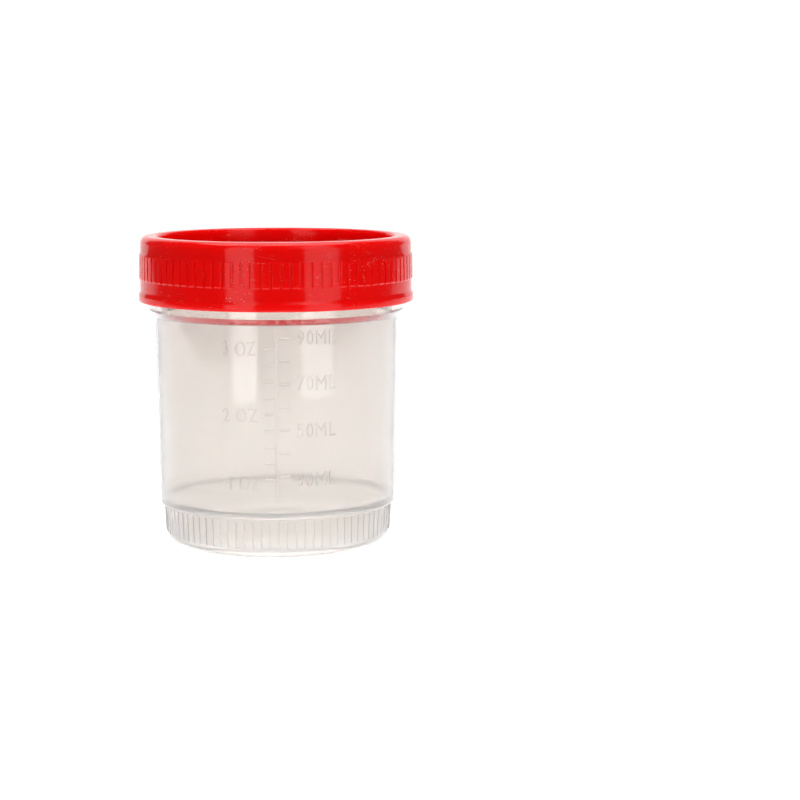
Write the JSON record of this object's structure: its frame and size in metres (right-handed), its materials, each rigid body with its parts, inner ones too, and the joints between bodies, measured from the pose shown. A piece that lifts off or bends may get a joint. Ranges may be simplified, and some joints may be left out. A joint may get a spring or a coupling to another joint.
{
  "type": "specimen container",
  "caption": "Translucent screw-top specimen cup with a moulded volume scale, a stepped ribbed foot and a red cap with a ribbed grip band and a recessed top",
  "frame": {"origin": "centre of the foot's resting ring, on the surface that the cup stands on", "axes": "+Z is the turning axis and points up to the cap; the volume scale faces -Y; +X is to the right of the scale, on the side of its millilitre marks"},
  "size_m": [0.0608, 0.0608, 0.0679],
  "materials": {
    "cup_plastic": "natural polypropylene, translucent, smooth",
    "cap_plastic": "red polypropylene, semi-gloss, lightly scuffed"
  },
  "bodies": {
    "cup": {"cup": "cup_plastic"},
    "cap": {"cap": "cap_plastic"}
  },
  "joints": [
    {"name": "cap_lift", "type": "slide", "parent": "cup", "child": "cap", "axis": [0, 0, 1], "range_m": [0, 0.03]}
  ]
}
